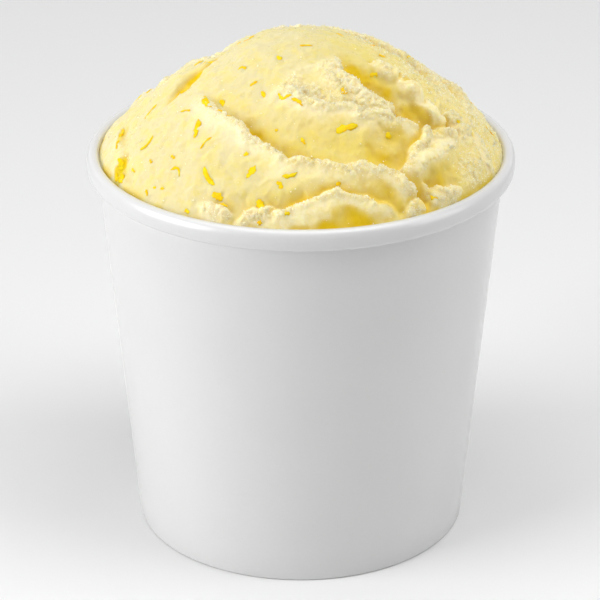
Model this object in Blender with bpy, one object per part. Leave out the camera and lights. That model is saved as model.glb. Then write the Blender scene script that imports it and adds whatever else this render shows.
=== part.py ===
"""A paper pint cup heaped with sorbet, standing upright on its foot.

The model is in metres, +Z up, with its origin at the centre of the foot. It has three
solids: the tapered wall with its rolled rim and folded hem, the recessed base whose
skirt the hem grips, and the sorbet, which fills the cup and rises in folds above it.
Sizes below are in millimetres and are scaled to metres when the meshes are made.
"""

import math
from typing import NamedTuple

import bpy
import numpy as np
from mathutils import Vector, noise

MM = 0.001

# Cup
FOOT_RADIUS = 38.5
WALL_TAPER = 0.09
PAPER = 0.45
CUP_HEIGHT = 92.0
RIM_RADIUS = 49.0
ROLL_WIDTH = 3.1
ROLL_HEIGHT = 4.9
ROLL_SQUARENESS = 2.4
ROLL_END_ANGLE = -118.0
HEM_HEIGHT = 6.4
FOLD_FLOOR = 0.6
FOOT_ROUNDING = 0.4
BASE_TOP = 7.15
BASE_CORNER = 0.45
CLEARANCE = 0.3
CUP_SEGMENTS = 72

# Sorbet
SORBET_RADIUS = 45.6
SORBET_EDGE_HEIGHT = 90.2
HEAP_HEIGHT = 29.1
HEAP_ROUNDNESS = 1.6
HEAP_SHOULDER = 0.8
EDGE_FADE = 3.5
NORMAL_LEAN = 0.6
RING_COUNT = 25
RING_SPACING_POWER = 0.92
LUMP_HEIGHT = 0.5
LUMP_SIZE = 9.0
LUMP_SEED = 3.7
FOLD_END_POWER = 0.5
BLEND_RADIUS = 1.4
BLEND_PLACES = 6

# Finish
CREASE_ANGLE = 40.0


class Fold(NamedTuple):
    """One edge of a folded layer, drawn in plan. Its crest drops to a trough on the left of its run."""

    points: tuple
    crest: float
    trough: float
    rise: float
    drop: float
    reach: float


class Lobe(NamedTuple):
    """A rounded lump of sorbet, or a dent: its place in plan, half length and width, turn and height."""

    x: float
    y: float
    length: float
    width: float
    turn: float
    height: float
    softness: float = 0.8


FOLDS = (
    # Upper edge of the big front layer, running round the left shoulder to the right
    Fold(((-22.9, -11.9), (-18, -21), (-12.7, -26.3), (-7.5, -31.6), (-0.8, -35), (7, -35.8),
          (15.4, -35.1), (21.3, -34.7), (25.4, -36.5)),
         1.1, 1.9, 7.0, 2.2, 8.0),
    # Upper edge of the scooped hollow
    Fold(((-7.2, -17.7), (-1.7, -20.7), (2.8, -22.8), (9.1, -22.9), (14.9, -23.2), (21.4, -21.9),
          (27.9, -20.4)),
         1.4, 1.0, 5.0, 2.0, 6.0),
    # Crest from the top down the right shoulder, above the deepest trough
    Fold(((6.5, -7.7), (9.1, -13.9), (13.6, -16.7), (18.2, -19.3), (23, -21.5)),
         1.2, 2.5, 4.0, 3.0, 4.5),
    # Thick ridge across the right front, falling outwards
    Fold(((34.8, -18.2), (32.4, -21.6), (28.8, -27.4), (25, -32.8), (21.2, -36.6)),
         1.8, 1.2, 2.8, 2.6, 4.5),
    # Edge of the hollow's right end, running on as the band towards the rim
    Fold(((21.1, -32.6), (24.1, -28.6), (26.6, -23.6), (30.4, -18.6), (35.6, -13.4), (40, -12), (43, -16.5)),
         1.2, 1.3, 2.6, 2.0, 3.5),
    # Fold along the front rim
    Fold(((-7.1, -45), (-2.3, -43.7), (5, -41.4), (11.2, -40.8), (18.1, -39.5), (21, -40.3)),
         1.2, 1.5, 3.0, 2.0, 3.0),
    # Crease along the left rim
    Fold(((-41.6, -2), (-41, -8), (-40.6, -15), (-38.8, -24)),
         0.1, 0.7, 2.0, 1.4, 2.0),
    # Layers of the back
    Fold(((33, 2), (30, 9), (24.5, 15.5), (16, 20.5), (6, 22.5), (-4, 21.5), (-12, 19.5), (-17, 17)),
         1.0, 1.8, 6.0, 2.8, 7.0),
    Fold(((41, 8), (38, 15.5), (31, 24.5), (22, 31), (10, 34.5), (-3, 34.8), (-14, 32.5),
          (-22, 28.5), (-27, 25)),
         1.1, 1.7, 6.0, 2.8, 7.0),
    Fold(((-39.5, 9), (-38.5, 14.5), (-35, 19.5), (-29, 21.5), (-22, 19), (-15, 15.5), (-9, 12)),
         0.5, 1.4, 4.0, 3.0, 6.0),
    Fold(((29, 34), (24, 36.6), (17, 39), (9, 41.2), (2, 43)),
         1.2, 1.2, 3.0, 1.8, 3.0),
    Fold(((-12, 40), (-18, 38.6), (-25, 35), (-31, 30), (-34, 26)),
         1.2, 1.3, 3.0, 1.8, 3.0),
)

LOBES = (
    # The scooped hollow
    Lobe(11.0, -28.5, 17.0, 6.0, -2.0, -1.0),
    Lobe(19.0, -29.0, 7.5, 5.0, 50.0, -1.3),
    # Lumps of the right shoulder
    Lobe(17.8, -7.6, 3.8, 3.0, -46.0, 1.9),
    Lobe(23.0, -9.4, 4.8, 3.2, -52.0, 2.4),
    Lobe(29.0, -14.0, 4.2, 3.2, -24.0, 2.1),
    Lobe(34.6, -12.2, 3.0, 3.0, -20.0, 1.4),
    Lobe(37.0, -16.4, 3.4, 4.4, -20.0, 0.8),
    Lobe(37.2, -22.8, 7.0, 3.4, 62.0, 1.2),
    # Lumps of the front
    Lobe(31.0, -32.5, 6.0, 3.4, 35.0, 1.5),
    Lobe(26.0, -37.8, 4.5, 2.8, 35.0, 1.2),
    Lobe(-16.5, -40.5, 5.0, 2.8, -20.0, 1.2),
    Lobe(-8.5, -43.0, 4.5, 2.4, -5.0, 1.0),
    Lobe(-18.0, -31.0, 13.0, 6.0, -40.0, 0.5),
    # Groove of the upper left shoulder and the swell beyond it
    Lobe(-25.2, -4.6, 7.0, 2.4, 40.0, -2.0),
    Lobe(-18.8, 1.6, 6.0, 2.4, 52.0, -1.4),
    Lobe(-29.5, -1.0, 8.0, 4.5, 50.0, 0.9),
    Lobe(-24.0, 16.0, 20.0, 16.0, 15.0, -2.8, 1.3),
    # Swells of the outline and of the back
    Lobe(-36.5, 15.0, 4.5, 7.0, -20.0, 0.9),
    Lobe(-26.5, 16.5, 6.0, 8.0, 0.0, 2.1),
    Lobe(-14.5, 16.0, 5.0, 9.0, 0.0, 1.0),
    Lobe(16.0, 12.0, 12.0, 8.0, 0.0, -0.6),
    Lobe(38.0, 11.0, 6.0, 8.0, 30.0, -1.8),
    Lobe(29.0, 10.0, 16.0, 11.0, -40.0, -1.0, 1.2),
    Lobe(39.0, -3.0, 6.5, 4.5, 80.0, 0.2),
    Lobe(-31.0, 28.0, 8.0, 5.0, 40.0, 1.2),
    Lobe(12.0, 39.0, 8.0, 4.0, -10.0, 1.0),
    Lobe(-7.0, 28.0, 9.0, 4.5, 5.0, 0.9),
)


def clear_scene():
    """Removes every object, so that the file holds this model alone."""
    for item in list(bpy.data.objects):
        bpy.data.objects.remove(item, do_unlink=True)


def plain_material(name, color, roughness):
    """A Principled material of one colour."""
    material = bpy.data.materials.new(name)
    material.use_nodes = True
    shader = material.node_tree.nodes["Principled BSDF"]
    shader.inputs["Base Color"].default_value = (*color, 1.0)
    shader.inputs["Roughness"].default_value = roughness
    shader.inputs["Metallic"].default_value = 0.0
    return material


def add_piece(name, vertices, faces, material):
    """Makes one named object from points in millimetres, shaded smooth except at sharp edges."""
    mesh = bpy.data.meshes.new(name)
    mesh.from_pydata([tuple(float(c) * MM for c in v) for v in vertices], [], faces)
    mesh.validate()
    mesh.shade_smooth()
    mesh.set_sharp_from_angle(angle=math.radians(CREASE_ANGLE))
    mesh.materials.append(material)
    piece = bpy.data.objects.new(name, mesh)
    bpy.context.scene.collection.objects.link(piece)
    return piece


def ring(radius, height, count):
    """Points of a level circle about the Z axis, counter-clockwise from +X."""
    angles = [2 * math.pi * k / count for k in range(count)]
    return [(radius * math.cos(a), radius * math.sin(a), height) for a in angles]


def band(lower, upper, count):
    """Faces between two rings, given by their first vertex. They face out where upper is above lower."""
    faces = []
    for k in range(count):
        n = (k + 1) % count
        faces.append((lower + k, lower + n, upper + n, upper + k))
    return faces


def wall_outer(height):
    """Radius of the wall's outer face at a height."""
    return FOOT_RADIUS + WALL_TAPER * height


def wall_inner(height):
    """Radius of the wall's inner face at a height."""
    return wall_outer(height) - PAPER


def roll_arc(inset, angles):
    """Points of the rolled rim's section, which is a squared-off ellipse, at angles in degrees."""
    half_width = ROLL_WIDTH / 2 - inset
    half_height = ROLL_HEIGHT / 2 - inset
    centre_radius = RIM_RADIUS - ROLL_WIDTH / 2
    centre_height = CUP_HEIGHT - ROLL_HEIGHT / 2
    points = []
    for degrees in angles:
        c, s = math.cos(math.radians(degrees)), math.sin(math.radians(degrees))
        x = math.copysign(abs(c) ** (2 / ROLL_SQUARENESS), c)
        y = math.copysign(abs(s) ** (2 / ROLL_SQUARENESS), s)
        points.append((centre_radius + half_width * x, centre_height + half_height * y))
    return points


def wall_section():
    """The wall's closed section: up the outer face, round the hollow roll, down inside, and round the hem."""
    skirt_space = 2 * CLEARANCE + PAPER
    hem_outer = lambda height: wall_inner(height) - skirt_space
    hem_inner = lambda height: hem_outer(height) - PAPER
    roll_start = CUP_HEIGHT - ROLL_HEIGHT + PAPER
    corner = FOOT_ROUNDING
    section = [(wall_outer(corner), corner), (wall_outer(roll_start), roll_start)]
    section += roll_arc(PAPER, (180, 120, 60, 0, -60, ROLL_END_ANGLE))
    section += roll_arc(0.0, (ROLL_END_ANGLE, -85, -50, -20, 0, 25, 55, 90, 125, 155, 180))
    section += [
        (wall_inner(roll_start - PAPER), roll_start - PAPER),
        (wall_inner(FOLD_FLOOR), FOLD_FLOOR),
        (hem_outer(FOLD_FLOOR), FOLD_FLOOR),
        (hem_outer(HEM_HEIGHT), HEM_HEIGHT),
        (hem_inner(HEM_HEIGHT), HEM_HEIGHT),
        (hem_inner(corner), corner),
        (hem_inner(0) + corner, 0.0),
        (wall_outer(0) - corner, 0.0),
    ]
    return section


def build_wall(material):
    """The side wall: its closed section turned about the Z axis."""
    section = wall_section()
    vertices = []
    for radius, height in section:
        vertices += ring(radius, height, CUP_SEGMENTS)
    faces = []
    for k in range(len(section)):
        n = (k + 1) % len(section)
        faces += band(k * CUP_SEGMENTS, n * CUP_SEGMENTS, CUP_SEGMENTS)
    return add_piece("cup_wall", vertices, faces, material)


def build_base(material):
    """The recessed base: a disc with a skirt turned down between the wall and the hem."""
    skirt_outer = lambda height: wall_inner(height) - CLEARANCE
    underside = BASE_TOP - PAPER
    skirt_foot = FOLD_FLOOR + CLEARANCE
    shoulder = BASE_TOP - BASE_CORNER
    section = [
        (skirt_outer(shoulder) - PAPER - BASE_CORNER / 2, underside),
        (skirt_outer(shoulder) - PAPER, underside - BASE_CORNER / 2),
        (skirt_outer(skirt_foot) - PAPER, skirt_foot),
        (skirt_outer(skirt_foot), skirt_foot),
        (skirt_outer(shoulder), shoulder),
        (skirt_outer(shoulder) - BASE_CORNER, BASE_TOP),
    ]
    vertices = []
    for radius, height in section:
        vertices += ring(radius, height, CUP_SEGMENTS)
    faces = []
    for k in range(len(section) - 1):
        faces += band(k * CUP_SEGMENTS, (k + 1) * CUP_SEGMENTS, CUP_SEGMENTS)
    low_centre = len(vertices)
    vertices += [(0, 0, underside), (0, 0, BASE_TOP)]
    last = (len(section) - 1) * CUP_SEGMENTS
    for k in range(CUP_SEGMENTS):
        n = (k + 1) % CUP_SEGMENTS
        faces.append((low_centre, n, k))
        faces.append((low_centre + 1, last + k, last + n))
    return add_piece("cup_base", vertices, faces, material)


def smooth_run(points, steps=6):
    """A smooth curve through plan points, as an array of closely spaced points."""
    knots = np.array(points, float)
    knots = np.vstack([2 * knots[0] - knots[1], knots, 2 * knots[-1] - knots[-2]])
    run = []
    for k in range(1, len(knots) - 2):
        a, b, c, d = knots[k - 1:k + 3]
        for t in np.arange(steps) / steps:
            run.append(0.5 * (2 * b + (c - a) * t + (2 * a - 5 * b + 4 * c - d) * t ** 2
                              + (3 * b - a - 3 * c + d) * t ** 3))
    run.append(knots[-2])
    return np.array(run)


def distance_along(run, x, y):
    """Signed distance from a run, positive on its left, and the share of the run's length passed."""
    nearest = np.full(x.shape, np.inf)
    signed = np.zeros(x.shape)
    share = np.zeros(x.shape)
    steps = np.linalg.norm(np.diff(run, axis=0), axis=1)
    passed = np.concatenate([[0.0], np.cumsum(steps)])
    for k, length in enumerate(steps):
        ux, uy = (run[k + 1] - run[k]) / length
        dx, dy = x - run[k][0], y - run[k][1]
        t = np.clip(dx * ux + dy * uy, 0.0, length)
        gap = np.hypot(dx - t * ux, dy - t * uy)
        side = np.where(ux * dy - uy * dx >= 0, 1.0, -1.0)
        closer = gap < nearest
        nearest = np.where(closer, gap, nearest)
        signed = np.where(closer, gap * side, signed)
        share = np.where(closer, (passed[k] + t) / passed[-1], share)
    return signed, share


def fold_height(fold, x, y):
    """How far one fold raises the surface: a slope up to its crest, a steep drop, and a trough that fades."""
    s, share = distance_along(smooth_run(fold.points), x, y)
    slope = fold.crest * np.exp(-(s / fold.rise) ** 2)
    fall = fold.crest - (fold.crest + fold.trough) * (1 - np.cos(np.pi * s / fold.drop)) / 2
    fade = -fold.trough * (1 + np.cos(np.pi * np.clip((s - fold.drop) / fold.reach, 0, 1))) / 2
    height = np.where(s < 0, slope, np.where(s < fold.drop, fall, fade))
    ends = np.sin(np.pi * np.clip(share, 0.0, 1.0)) ** FOLD_END_POWER
    return height * ends


def lobe_height(lobe, x, y):
    """How far one lobe raises the surface: a rounded oval lump."""
    turn = math.radians(lobe.turn)
    dx, dy = x - lobe.x, y - lobe.y
    along = (dx * math.cos(turn) + dy * math.sin(turn)) / lobe.length
    across = (dy * math.cos(turn) - dx * math.sin(turn)) / lobe.width
    return lobe.height * np.clip(1 - along ** 2 - across ** 2, 0, 1) ** lobe.softness


def lumps(x, y):
    """Broad, soft unevenness of the heap."""
    height = [noise.noise(Vector((a / LUMP_SIZE, b / LUMP_SIZE, LUMP_SEED))) for a, b in zip(x, y)]
    return LUMP_HEIGHT * np.array(height)


def raised_height(x, y):
    """How far the lumps, folds and lobes together raise the surface at plan places."""
    raised = lumps(x, y)
    for fold in FOLDS:
        raised = raised + fold_height(fold, x, y)
    for lobe in LOBES:
        raised = raised + lobe_height(lobe, x, y)
    return raised


def blended_height(x, y):
    """The raised height, evened out over a small circle round each place."""
    offsets = [(0.0, 0.0, 0.0)] + ring(BLEND_RADIUS, 0.0, BLEND_PLACES)
    heights = [raised_height(x + dx, y + dy) for dx, dy, _ in offsets]
    return np.mean(heights, axis=0)


def heap_points():
    """Points of the heap's surface on a centre and rings of 6, 12, 18 and so on, as an array."""
    radii, angles = [0.0], [0.0]
    for k in range(1, RING_COUNT + 1):
        for j in range(6 * k):
            radii.append(SORBET_RADIUS * (k / RING_COUNT) ** RING_SPACING_POWER)
            angles.append(2 * math.pi * j / (6 * k))
    radius, angle = np.array(radii), np.array(angles)
    x, y = radius * np.cos(angle), radius * np.sin(angle)
    share = radius / SORBET_RADIUS
    swell = np.clip(1 - share ** HEAP_ROUNDNESS, 0, 1)
    z = SORBET_EDGE_HEIGHT + HEAP_HEIGHT * swell ** HEAP_SHOULDER
    raised = blended_height(x, y) * np.clip((SORBET_RADIUS - radius) / EDGE_FADE, 0, 1)
    steepness = HEAP_SHOULDER * HEAP_ROUNDNESS * HEAP_HEIGHT / SORBET_RADIUS * share ** (HEAP_ROUNDNESS - 1)
    lean = NORMAL_LEAN * np.arctan(steepness)
    out = raised * np.sin(lean)
    return np.column_stack([x + out * np.cos(angle), y + out * np.sin(angle), z + raised * np.cos(lean)])


def heap_faces():
    """Near-equal triangles between the rings, sextant by sextant."""
    start = lambda k: 0 if k == 0 else 1 + 3 * k * (k - 1)
    point = lambda k, j: 0 if k == 0 else start(k) + j % (6 * k)
    faces = []
    for k in range(RING_COUNT):
        for sextant in range(6):
            inner, outer = sextant * k, sextant * (k + 1)
            for j in range(k + 1):
                faces.append((point(k, inner + j), point(k + 1, outer + j), point(k + 1, outer + j + 1)))
            for j in range(k):
                faces.append((point(k, inner + j), point(k + 1, outer + j + 1), point(k, inner + j + 1)))
    return faces


def build_sorbet(material):
    """The sorbet: the folded heap on top, the tapered side that lies in the cup, and a flat bottom."""
    vertices = [tuple(p) for p in heap_points()]
    faces = heap_faces()
    count = 6 * RING_COUNT
    edge = len(vertices) - count
    bottom = BASE_TOP + CLEARANCE
    straight = (SORBET_RADIUS + CLEARANCE + PAPER - FOOT_RADIUS) / WALL_TAPER
    for height in (straight, bottom):
        lower = len(vertices)
        vertices += ring(wall_inner(height) - CLEARANCE, height, count)
        faces += band(lower, edge, count)
        edge = lower
    faces.append(tuple(reversed(range(edge, edge + count))))
    return add_piece("sorbet", vertices, faces, material)


def main():
    """Builds the cup and its sorbet."""
    clear_scene()
    paper = plain_material("coated_paper", (0.86, 0.86, 0.86), 0.45)
    base_paper = plain_material("base_paper", (0.80, 0.80, 0.79), 0.6)
    lemon = plain_material("lemon_sorbet", (0.87, 0.72, 0.26), 0.55)
    build_wall(paper)
    build_base(base_paper)
    build_sorbet(lemon)


main()
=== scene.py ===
"""Looks of a paper pint cup heaped with lemon sorbet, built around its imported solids.

The cup's wall and base are made again as fine paper shells, and the sorbet as a finely
modelled heap with crumbly folds, ice crumbs and slivers of zest. Sizes are in
millimetres until a mesh is made. Places that depend on the solids are read from them.
"""

from __future__ import annotations

import logging
import math
from dataclasses import dataclass, field
from enum import Enum

import bpy
import numpy as np
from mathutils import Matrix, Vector, noise

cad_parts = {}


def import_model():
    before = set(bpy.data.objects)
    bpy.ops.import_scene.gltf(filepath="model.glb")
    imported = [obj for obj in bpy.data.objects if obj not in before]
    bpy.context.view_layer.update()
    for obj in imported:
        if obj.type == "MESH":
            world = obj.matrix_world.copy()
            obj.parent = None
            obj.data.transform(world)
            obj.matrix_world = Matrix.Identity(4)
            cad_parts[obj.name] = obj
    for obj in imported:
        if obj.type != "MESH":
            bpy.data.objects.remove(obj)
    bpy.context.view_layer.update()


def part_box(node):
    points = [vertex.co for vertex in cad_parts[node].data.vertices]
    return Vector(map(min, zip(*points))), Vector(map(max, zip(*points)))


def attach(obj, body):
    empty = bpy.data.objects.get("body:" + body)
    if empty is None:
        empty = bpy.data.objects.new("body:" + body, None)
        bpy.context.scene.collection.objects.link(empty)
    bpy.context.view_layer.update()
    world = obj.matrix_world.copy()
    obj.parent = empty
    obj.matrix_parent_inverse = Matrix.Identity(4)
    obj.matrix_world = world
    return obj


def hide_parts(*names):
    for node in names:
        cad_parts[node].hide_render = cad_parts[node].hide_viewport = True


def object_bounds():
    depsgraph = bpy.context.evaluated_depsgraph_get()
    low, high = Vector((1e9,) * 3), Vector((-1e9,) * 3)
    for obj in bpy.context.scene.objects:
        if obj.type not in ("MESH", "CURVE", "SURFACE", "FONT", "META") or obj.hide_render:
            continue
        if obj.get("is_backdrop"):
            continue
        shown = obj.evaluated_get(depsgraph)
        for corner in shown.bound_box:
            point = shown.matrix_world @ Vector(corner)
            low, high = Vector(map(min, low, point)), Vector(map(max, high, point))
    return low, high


MM = 0.001
FOOT_TO_RIM = 38.5 / 49.0
BODY = "root"
LOG = logging.getLogger("pint_of_sorbet")

Color = tuple[float, float, float]


# ---------------------------------------------------------------- mesh helpers


def add_mesh(name: str, vertices: np.ndarray, faces: list, material: bpy.types.Material) -> bpy.types.Object:
    """Makes a smooth-shaded object from points in millimetres.

    Args:
        name: The object's name.
        vertices: Points, one row each.
        faces: Vertex indices of each face.
        material: The finish of the whole mesh.

    Returns:
        The new object, linked to the scene.
    """
    mesh = bpy.data.meshes.new(name)
    mesh.from_pydata((np.asarray(vertices, float) * MM).tolist(), [], faces)
    mesh.shade_smooth()
    mesh.materials.append(material)
    piece = bpy.data.objects.new(name, mesh)
    bpy.context.scene.collection.objects.link(piece)
    return piece


def store_share(piece: bpy.types.Object, name: str, values: np.ndarray) -> None:
    """Stores one number for each vertex, for the material to read.

    Args:
        piece: The object that gets the numbers.
        name: The attribute's name.
        values: One number for each vertex.
    """
    attribute = piece.data.attributes.new(name, "FLOAT", "POINT")
    attribute.data.foreach_set("value", np.asarray(values, np.float32))


def finish_piece(piece: bpy.types.Object, slot: str, replaced: str | None = None) -> None:
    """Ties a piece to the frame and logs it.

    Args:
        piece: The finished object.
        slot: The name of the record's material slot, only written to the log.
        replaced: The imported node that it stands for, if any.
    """
    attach(piece, BODY)
    if replaced:
        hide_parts(replaced)
    LOG.info("%s: %d faces, finish %s", piece.name, len(piece.data.polygons), slot)


def band_faces(lower: int, upper: int, count: int) -> list:
    """Faces between two closed rows of vertices, facing out where upper is above lower.

    Args:
        lower: First vertex of the lower row.
        upper: First vertex of the upper row.
        count: Vertices in each row.

    Returns:
        One four-sided face for each vertex of a row.
    """
    return [(lower + k, lower + (k + 1) % count, upper + (k + 1) % count, upper + k) for k in range(count)]


def smooth_step(low: float, high: float, values: np.ndarray) -> np.ndarray:
    """Eases from 0 at low to 1 at high.

    Args:
        low: Where the rise starts.
        high: Where it ends.
        values: Numbers to ease.

    Returns:
        The eased shares.
    """
    t = np.clip((values - low) / (high - low), 0.0, 1.0)
    return t * t * (3 - 2 * t)


def unit(rows: np.ndarray) -> np.ndarray:
    """Rows of a table of directions, each made one long."""
    return rows / np.maximum(np.linalg.norm(rows, axis=1), 1e-9)[:, None]


def smoothed(points: np.ndarray, triangles: np.ndarray, passes: int) -> np.ndarray:
    """Points of a mesh, each drawn halfway to the mean of its neighbours in each pass."""
    starts, ends = triangles.ravel(), np.roll(triangles, -1, axis=1).ravel()
    joined = np.bincount(starts, minlength=len(points)) + np.bincount(ends, minlength=len(points))
    for _ in range(passes):
        total = np.column_stack([np.bincount(starts, points[ends, k], len(points))
                                 + np.bincount(ends, points[starts, k], len(points)) for k in range(3)])
        points = (points + total / joined[:, None]) / 2
    return points


def vertex_normals(points: np.ndarray, triangles: np.ndarray) -> np.ndarray:
    """Directions of a mesh's surface at its vertices."""
    a, b, c = (points[triangles[:, k]] for k in range(3))
    flat = np.cross(b - a, c - a)
    total = np.column_stack([sum(np.bincount(triangles[:, k], flat[:, axis], len(points)) for k in range(3))
                             for axis in range(3)])
    return unit(total)


def random_turns(count: int, random: np.random.Generator) -> np.ndarray:
    """Random rotation matrices, one for each of a number of things."""
    w, x, y, z = random.normal(size=(4, count)) + 1e-9
    w, x, y, z = np.array([w, x, y, z]) / np.sqrt(w * w + x * x + y * y + z * z)
    rows = [[1 - 2 * (y * y + z * z), 2 * (x * y - w * z), 2 * (x * z + w * y)],
            [2 * (x * y + w * z), 1 - 2 * (x * x + z * z), 2 * (y * z - w * x)],
            [2 * (x * z - w * y), 2 * (y * z + w * x), 1 - 2 * (x * x + y * y)]]
    return np.moveaxis(np.array(rows), 2, 0)


# -------------------------------------------------------------- node helpers


class NodeSheet:
    """Adds nodes to a material's or a group's tree in few words."""

    def __init__(self, tree: bpy.types.NodeTree) -> None:
        """Keeps the tree that nodes are added to."""
        self.tree = tree

    def add(self, kind: str, settings: dict | None = None, **values: object) -> bpy.types.Node:
        """Adds a node.

        Args:
            kind: The node's type, without the leading ShaderNode.
            settings: Properties of the node itself.
            values: Values of its inputs, or outputs of other nodes to link to them. An underscore
                in a name stands for a space.

        Returns:
            The new node.
        """
        node = self.tree.nodes.new("ShaderNode" + kind)
        for name, value in (settings or {}).items():
            setattr(node, name, value)
        for name, value in values.items():
            self.feed(node.inputs[name.replace("_", " ")], value)
        return node

    def feed(self, socket: bpy.types.NodeSocket, value: object) -> None:
        """Links an output to a socket, or sets the socket's own value."""
        if isinstance(value, bpy.types.NodeSocket):
            self.tree.links.new(value, socket)
        else:
            socket.default_value = value

    def math(self, operation: str, *values: object) -> bpy.types.NodeSocket:
        """Adds a Math node and returns its output."""
        node = self.add("Math", {"operation": operation})
        for socket, value in zip(node.inputs, values):
            self.feed(socket, value)
        return node.outputs[0]

    def mix(self, share: object, low: object, high: object) -> bpy.types.NodeSocket:
        """Adds a colour mix from low to high and returns its output."""
        node = self.add("Mix", {"data_type": "RGBA"})
        self.feed(node.inputs[0], share)
        self.feed(node.inputs[6], low)
        self.feed(node.inputs[7], high)
        return node.outputs[2]

    def ramp(self, value: object, low: float, high: float) -> bpy.types.NodeSocket:
        """Adds a smooth Map Range from low..high to 0..1 and returns its output."""
        node = self.add("MapRange", {"interpolation_type": "SMOOTHSTEP"}, Value=value)
        node.inputs["From Min"].default_value = low
        node.inputs["From Max"].default_value = high
        return node.outputs[0]


def new_group(name: str, inputs: dict[str, float], outputs: dict[str, str]) -> tuple[NodeSheet, dict, dict]:
    """Starts a shader node group.

    Args:
        name: The group's name.
        inputs: Each number input's name and default.
        outputs: Each output's name and socket type.

    Returns:
        The group's sheet, its input sockets by name, and its output sockets by name.
    """
    tree = bpy.data.node_groups.new(name, "ShaderNodeTree")
    for socket, default in inputs.items():
        item = tree.interface.new_socket(socket, in_out="INPUT", socket_type="NodeSocketFloat")
        item.default_value = default
    for socket, kind in outputs.items():
        tree.interface.new_socket(socket, in_out="OUTPUT", socket_type=kind)
    entry = tree.nodes.new("NodeGroupInput")
    leave = tree.nodes.new("NodeGroupOutput")
    return NodeSheet(tree), {s.name: s for s in entry.outputs}, {s.name: s for s in leave.inputs}


def paper_fibre_group() -> bpy.types.NodeTree:
    """Builds the fibre of coated board: a soft mottle and a fine uneven surface.

    Returns:
        The group, with a Mottle mask and a surface Height.
    """
    sheet, given, out = new_group(
        "PaperFibre",
        {"Scale": 900.0, "Fineness": 4.0},
        {"Mottle": "NodeSocketFloat", "Height": "NodeSocketFloat"},
    )
    place = sheet.add("TexCoord").outputs["Object"]
    fine = sheet.add("TexNoise", Vector=place, Scale=given["Scale"], Detail=given["Fineness"], Roughness=0.6)
    broad_scale = sheet.math("MULTIPLY", given["Scale"], 0.06)
    broad = sheet.add("TexNoise", Vector=place, Scale=broad_scale, Detail=2.0, Roughness=0.5)
    fine_share = sheet.math("MULTIPLY", fine.outputs[0], 0.45)
    broad_share = sheet.math("MULTIPLY", broad.outputs[0], 0.55)
    mixed = sheet.math("ADD", fine_share, broad_share)
    sheet.feed(out["Mottle"], mixed)
    sheet.feed(out["Height"], fine.outputs[0])
    return sheet.tree


def ice_grain_group() -> bpy.types.NodeTree:
    """Builds the grain of frozen sorbet: packed ice crystals with bright faces.

    Returns:
        The group, with a surface Height, and Crystal, Sparkle and broad Mottle masks.
    """
    sheet, given, out = new_group(
        "IceGrain",
        {"Scale": 1500.0, "Coarseness": 0.5},
        {"Height": "NodeSocketFloat", "Crystal": "NodeSocketFloat", "Sparkle": "NodeSocketFloat",
         "Mottle": "NodeSocketFloat"},
    )
    place = sheet.add("TexCoord").outputs["Object"]
    broad_scale = sheet.math("MULTIPLY", given["Scale"], 0.13)
    broad = sheet.add("TexNoise", Vector=place, Scale=broad_scale, Detail=5.0, Roughness=0.6)
    sheet.feed(out["Mottle"], broad.outputs[0])
    cells = sheet.add("TexVoronoi", {"feature": "F1"}, Vector=place, Scale=given["Scale"], Randomness=1.0)
    fine = sheet.add("TexNoise", Vector=place, Scale=given["Scale"], Detail=3.0, Roughness=0.65)
    dome = sheet.math("SUBTRACT", 1.0, cells.outputs["Distance"])
    coarse = sheet.math("MULTIPLY", dome, given["Coarseness"])
    sheet.feed(out["Height"], sheet.math("ADD", coarse, sheet.math("MULTIPLY", fine.outputs[0], 0.6)))
    split = sheet.add("SeparateColor", Color=cells.outputs["Color"])
    sheet.feed(out["Crystal"], split.outputs[0])
    sheet.feed(out["Sparkle"], sheet.ramp(split.outputs[1], 0.86, 0.97))
    return sheet.tree


# ----------------------------------------------------------------- finishes


def place_group(sheet: NodeSheet, tree: bpy.types.NodeTree, **values: float) -> bpy.types.Node:
    """Places a shared group in a material with its own values."""
    node = sheet.add("Group", {"node_tree": tree})
    for name, value in values.items():
        node.inputs[name].default_value = value
    return node


def start_material(
    name: str, roughness: float, ior: float
) -> tuple[bpy.types.Material, NodeSheet, bpy.types.Node]:
    """Starts a material.

    Args:
        name: The material's name.
        roughness: The shader's own roughness.
        ior: The surface's index of refraction.

    Returns:
        The material, its sheet and its Principled shader.
    """
    material = bpy.data.materials.new(name)
    material.use_nodes = True
    shader = material.node_tree.nodes["Principled BSDF"]
    shader.inputs["Roughness"].default_value = roughness
    shader.inputs["IOR"].default_value = ior
    return material, NodeSheet(material.node_tree), shader


@dataclass(frozen=True)
class PaperFinish:
    """Coated white board with a faint fibre."""

    name: str
    light: Color
    dark: Color
    roughness: float
    fibre_scale: float
    bump: float
    coat: float = 0.0

    def build(self, fibre: bpy.types.NodeTree) -> bpy.types.Material:
        """Builds the material.

        Args:
            fibre: The shared paper fibre group.

        Returns:
            The finished material.
        """
        material, sheet, shader = start_material(self.name, self.roughness, 1.45)
        grain = place_group(sheet, fibre, Scale=self.fibre_scale)
        share = sheet.ramp(grain.outputs["Mottle"], 0.3, 0.7)
        sheet.feed(shader.inputs["Base Color"], sheet.mix(share, (*self.dark, 1), (*self.light, 1)))
        rough = sheet.math("MULTIPLY_ADD", grain.outputs["Mottle"], 0.16, self.roughness - 0.08)
        sheet.feed(shader.inputs["Roughness"], rough)
        shader.inputs["Coat Weight"].default_value = self.coat
        shader.inputs["Coat Roughness"].default_value = 0.22
        bump = sheet.add("Bump", Strength=self.bump, Distance=0.05 * MM, Height=grain.outputs["Height"])
        sheet.feed(shader.inputs["Normal"], bump.outputs[0])
        return material


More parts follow.
